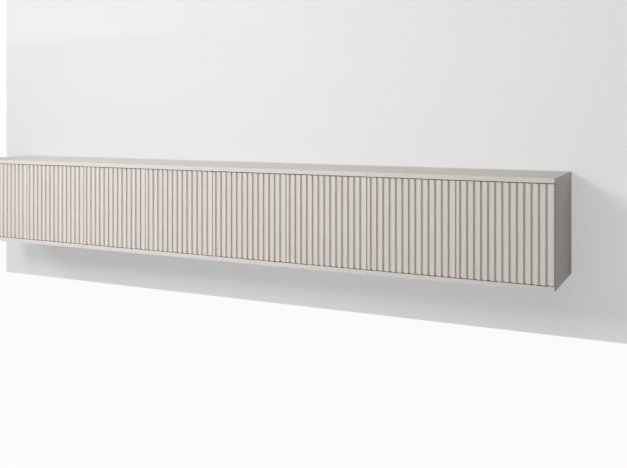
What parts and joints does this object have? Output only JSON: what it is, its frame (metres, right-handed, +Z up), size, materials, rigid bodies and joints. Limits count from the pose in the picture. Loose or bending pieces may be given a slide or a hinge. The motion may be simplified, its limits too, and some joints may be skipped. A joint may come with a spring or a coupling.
{
  "type": "floating media console",
  "caption": "Wall-hung low media console in matte greige with vertically grooved push-to-open doors on concealed hinges, shelves inside and cable cut-outs in the back.",
  "frame": {"origin": "on the wall plane, in the middle of the level row of wall screws, 60 mm below the top face", "axes": "+X along the console to the right as seen from the room, +Y into the wall, +Z up"},
  "size_m": [2.8396, 0.384, 0.4],
  "materials": {
    "greige_board": "matte greige foil on board",
    "slatted_front": "matte greige lacquer on milled fibreboard",
    "back_board": "matte greige board",
    "nickelled_steel": "nickel plated",
    "galvanised_steel": "galvanised",
    "zinc_alloy": "die-cast",
    "beech": "plain fluted dowel",
    "grey_plastic": "moulded"
  },
  "bodies": {
    "carcass": {"cabinet_1_top_panel": "greige_board", "cabinet_1_bottom_panel": "greige_board", "cabinet_1_left_side": "greige_board", "cabinet_1_right_side": "greige_board", "cabinet_2_top_panel": "greige_board", "cabinet_2_bottom_panel": "greige_board", "cabinet_2_left_side": "greige_board", "cabinet_2_right_side": "greige_board", "cabinet_3_top_panel": "greige_board", "cabinet_3_bottom_panel": "greige_board", "cabinet_3_left_side": "greige_board", "cabinet_3_right_side": "greige_board", "cabinet_4_top_panel": "greige_board", "cabinet_4_bottom_panel": "greige_board", "cabinet_4_left_side": "greige_board", "cabinet_4_right_side": "greige_board", "back_panels": "back_board", "shelves": "greige_board", "shelf_pins": "nickelled_steel", "wall_rails": "galvanised_steel", "hanger_brackets": "galvanised_steel", "wooden_dowels": "beech", "cam_locks": "zinc_alloy", "cabinet_connectors": "nickelled_steel", "hinge_arms": "nickelled_steel", "hinge_mounting_plates": "nickelled_steel", "push_latch_housings": "grey_plastic"},
    "door_1_links": {"door_1_hinge_links": "nickelled_steel"},
    "door_1": {"door_1": "slatted_front", "door_1_hinge_cups": "nickelled_steel"},
    "door_1_plunger": {"door_1_latch_plunger": "grey_plastic"},
    "door_2_links": {"door_2_hinge_links": "nickelled_steel"},
    "door_2": {"door_2": "slatted_front", "door_2_hinge_cups": "nickelled_steel"},
    "door_2_plunger": {"door_2_latch_plunger": "grey_plastic"},
    "door_3_links": {"door_3_hinge_links": "nickelled_steel"},
    "door_3": {"door_3": "slatted_front", "door_3_hinge_cups": "nickelled_steel"},
    "door_3_plunger": {"door_3_latch_plunger": "grey_plastic"},
    "door_4_links": {"door_4_hinge_links": "nickelled_steel"},
    "door_4": {"door_4": "slatted_front", "door_4_hinge_cups": "nickelled_steel"},
    "door_4_plunger": {"door_4_latch_plunger": "grey_plastic"},
    "door_5_links": {"door_5_hinge_links": "nickelled_steel"},
    "door_5": {"door_5": "slatted_front", "door_5_hinge_cups": "nickelled_steel"},
    "door_5_plunger": {"door_5_latch_plunger": "grey_plastic"},
    "door_6_links": {"door_6_hinge_links": "nickelled_steel"},
    "door_6": {"door_6": "slatted_front", "door_6_hinge_cups": "nickelled_steel"},
    "door_6_plunger": {"door_6_latch_plunger": "grey_plastic"},
    "door_7_links": {"door_7_hinge_links": "nickelled_steel"},
    "door_7": {"door_7": "slatted_front", "door_7_hinge_cups": "nickelled_steel"},
    "door_7_plunger": {"door_7_latch_plunger": "grey_plastic"},
    "door_8_links": {"door_8_hinge_links": "nickelled_steel"},
    "door_8": {"door_8": "slatted_front", "door_8_hinge_cups": "nickelled_steel"},
    "door_8_plunger": {"door_8_latch_plunger": "grey_plastic"}
  },
  "joints": [
    {"name": "door_1_arm_pivot", "type": "hinge", "parent": "carcass", "child": "door_1_links", "pos_m": [-1.392, -0.344, -0.14], "axis": [0, 0, 1], "range_deg": [0, 36.8]},
    {"name": "door_1_cup_pivot", "type": "hinge", "parent": "door_1_links", "child": "door_1", "pos_m": [-1.4085, -0.3675, -0.14], "axis": [0, 0, -1], "range_deg": [0, 128.8]},
    {"name": "door_1_plunger_slide", "type": "slide", "parent": "carcass", "child": "door_1_plunger", "axis": [0, -1, 0], "range_m": [0, 0.015]},
    {"name": "door_2_arm_pivot", "type": "hinge", "parent": "carcass", "child": "door_2_links", "pos_m": [-0.738, -0.344, -0.14], "axis": [0, 0, -1], "range_deg": [0, 36.8]},
    {"name": "door_2_cup_pivot", "type": "hinge", "parent": "door_2_links", "child": "door_2", "pos_m": [-0.7215, -0.3675, -0.14], "axis": [0, 0, 1], "range_deg": [0, 128.8]},
    {"name": "door_2_plunger_slide", "type": "slide", "parent": "carcass", "child": "door_2_plunger", "axis": [0, -1, 0], "range_m": [0, 0.015]},
    {"name": "door_3_arm_pivot", "type": "hinge", "parent": "carcass", "child": "door_3_links", "pos_m": [-0.682, -0.344, -0.14], "axis": [0, 0, 1], "range_deg": [0, 36.8]},
    {"name": "door_3_cup_pivot", "type": "hinge", "parent": "door_3_links", "child": "door_3", "pos_m": [-0.6985, -0.3675, -0.14], "axis": [0, 0, -1], "range_deg": [0, 128.8]},
    {"name": "door_3_plunger_slide", "type": "slide", "parent": "carcass", "child": "door_3_plunger", "axis": [0, -1, 0], "range_m": [0, 0.015]},
    {"name": "door_4_arm_pivot", "type": "hinge", "parent": "carcass", "child": "door_4_links", "pos_m": [-0.028, -0.344, -0.14], "axis": [0, 0, -1], "range_deg": [0, 36.8]},
    {"name": "door_4_cup_pivot", "type": "hinge", "parent": "door_4_links", "child": "door_4", "pos_m": [-0.0115, -0.3675, -0.14], "axis": [0, 0, 1], "range_deg": [0, 128.8]},
    {"name": "door_4_plunger_slide", "type": "slide", "parent": "carcass", "child": "door_4_plunger", "axis": [0, -1, 0], "range_m": [0, 0.015]},
    {"name": "door_5_arm_pivot", "type": "hinge", "parent": "carcass", "child": "door_5_links", "pos_m": [0.028, -0.344, -0.14], "axis": [0, 0, 1], "range_deg": [0, 36.8]},
    {"name": "door_5_cup_pivot", "type": "hinge", "parent": "door_5_links", "child": "door_5", "pos_m": [0.0115, -0.3675, -0.14], "axis": [0, 0, -1], "range_deg": [0, 128.8]},
    {"name": "door_5_plunger_slide", "type": "slide", "parent": "carcass", "child": "door_5_plunger", "axis": [0, -1, 0], "range_m": [0, 0.015]},
    {"name": "door_6_arm_pivot", "type": "hinge", "parent": "carcass", "child": "door_6_links", "pos_m": [0.682, -0.344, -0.14], "axis": [0, 0, -1], "range_deg": [0, 36.8]},
    {"name": "door_6_cup_pivot", "type": "hinge", "parent": "door_6_links", "child": "door_6", "pos_m": [0.6985, -0.3675, -0.14], "axis": [0, 0, 1], "range_deg": [0, 128.8]},
    {"name": "door_6_plunger_slide", "type": "slide", "parent": "carcass", "child": "door_6_plunger", "axis": [0, -1, 0], "range_m": [0, 0.015]},
    {"name": "door_7_arm_pivot", "type": "hinge", "parent": "carcass", "child": "door_7_links", "pos_m": [0.738, -0.344, -0.14], "axis": [0, 0, 1], "range_deg": [0, 36.8]},
    {"name": "door_7_cup_pivot", "type": "hinge", "parent": "door_7_links", "child": "door_7", "pos_m": [0.7215, -0.3675, -0.14], "axis": [0, 0, -1], "range_deg": [0, 128.8]},
    {"name": "door_7_plunger_slide", "type": "slide", "parent": "carcass", "child": "door_7_plunger", "axis": [0, -1, 0], "range_m": [0, 0.015]},
    {"name": "door_8_arm_pivot", "type": "hinge", "parent": "carcass", "child": "door_8_links", "pos_m": [1.392, -0.344, -0.14], "axis": [0, 0, -1], "range_deg": [0, 36.8]},
    {"name": "door_8_cup_pivot", "type": "hinge", "parent": "door_8_links", "child": "door_8", "pos_m": [1.4085, -0.3675, -0.14], "axis": [0, 0, 1], "range_deg": [0, 128.8]},
    {"name": "door_8_plunger_slide", "type": "slide", "parent": "carcass", "child": "door_8_plunger", "axis": [0, -1, 0], "range_m": [0, 0.015]}
  ],
  "couplings": [
    {"joint": "door_1_arm_pivot", "follows": "door_1_cup_pivot", "ratio": 0.28571},
    {"joint": "door_1_plunger_slide", "follows": "door_1_cup_pivot", "m_per_rad": 0.00667},
    {"joint": "door_2_arm_pivot", "follows": "door_2_cup_pivot", "ratio": 0.28571},
    {"joint": "door_2_plunger_slide", "follows": "door_2_cup_pivot", "m_per_rad": 0.00667},
    {"joint": "door_3_arm_pivot", "follows": "door_3_cup_pivot", "ratio": 0.28571},
    {"joint": "door_3_plunger_slide", "follows": "door_3_cup_pivot", "m_per_rad": 0.00667},
    {"joint": "door_4_arm_pivot", "follows": "door_4_cup_pivot", "ratio": 0.28571},
    {"joint": "door_4_plunger_slide", "follows": "door_4_cup_pivot", "m_per_rad": 0.00667},
    {"joint": "door_5_arm_pivot", "follows": "door_5_cup_pivot", "ratio": 0.28571},
    {"joint": "door_5_plunger_slide", "follows": "door_5_cup_pivot", "m_per_rad": 0.00667},
    {"joint": "door_6_arm_pivot", "follows": "door_6_cup_pivot", "ratio": 0.28571},
    {"joint": "door_6_plunger_slide", "follows": "door_6_cup_pivot", "m_per_rad": 0.00667},
    {"joint": "door_7_arm_pivot", "follows": "door_7_cup_pivot", "ratio": 0.28571},
    {"joint": "door_7_plunger_slide", "follows": "door_7_cup_pivot", "m_per_rad": 0.00667},
    {"joint": "door_8_arm_pivot", "follows": "door_8_cup_pivot", "ratio": 0.28571},
    {"joint": "door_8_plunger_slide", "follows": "door_8_cup_pivot", "m_per_rad": 0.00667}
  ]
}
